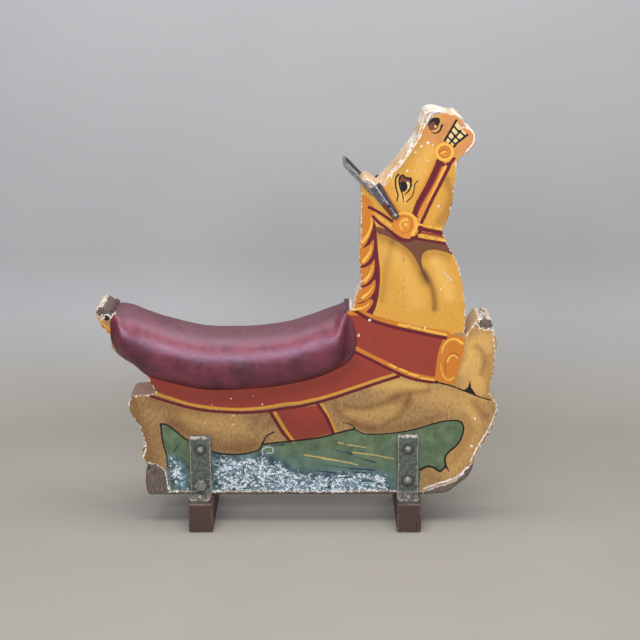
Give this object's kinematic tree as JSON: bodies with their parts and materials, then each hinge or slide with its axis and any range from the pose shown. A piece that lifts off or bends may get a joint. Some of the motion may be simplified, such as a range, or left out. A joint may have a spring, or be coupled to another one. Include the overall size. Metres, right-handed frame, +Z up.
{
  "type": "fairground ride horse",
  "caption": "Flat painted wooden ride horse in a gallop, with a padded leather saddle, an iron hand loop behind the head and iron brackets on two cross bearers.",
  "frame": {"origin": "on the floor, under the middle of the object's box", "axes": "+X towards the nose, +Y across the figure away from the pictured side, +Z up"},
  "size_m": [0.9519, 0.229, 1.0063],
  "materials": {
    "painted_boards": "hand-painted in oil colours, varnished, worn to bare wood along the edges",
    "dowel_wood": "plain beech",
    "saddle_stuffing": "matted hair and fibre",
    "saddle_leather": "maroon hide, semi-gloss, dulled on top",
    "tack_metal": "darkened domed tacks",
    "forged_iron": "hand-polished by use, dark",
    "loop_fasteners": "dulled steel",
    "painted_iron": "old green paint flaking off rusty iron",
    "bracket_fasteners": "painted over with the brackets, worn",
    "bearer_wood": "stained reddish brown, worn on the arrises"
  },
  "bodies": {
    "root": {"tail_board": "painted_boards", "hock_board": "painted_boards", "haunch_board": "painted_boards", "flank_board": "painted_boards", "girth_board": "painted_boards", "crest_board": "painted_boards", "throat_board": "painted_boards", "knee_board": "painted_boards", "board_dowels": "dowel_wood", "saddle_padding": "saddle_stuffing", "saddle_cover": "saddle_leather", "saddle_hems": "saddle_leather", "rear_saddle_strip": "saddle_leather", "front_saddle_strip": "saddle_leather", "saddle_tacks": "tack_metal", "hand_loop": "forged_iron", "hand_loop_bolt": "loop_fasteners", "hand_loop_nut": "loop_fasteners", "hand_loop_screws": "loop_fasteners", "rear_near_bracket": "painted_iron", "rear_far_bracket": "painted_iron", "front_near_bracket": "painted_iron", "front_far_bracket": "painted_iron", "upper_bracket_bolts": "bracket_fasteners", "front_lower_bolt": "bracket_fasteners", "rear_lower_bolt": "bracket_fasteners", "heavy_nut": "bracket_fasteners", "bolt_washers": "bracket_fasteners", "bolt_nuts": "bracket_fasteners", "foot_screws": "bracket_fasteners", "rear_bearer": "bearer_wood", "front_bearer": "bearer_wood"}
  },
  "joints": []
}
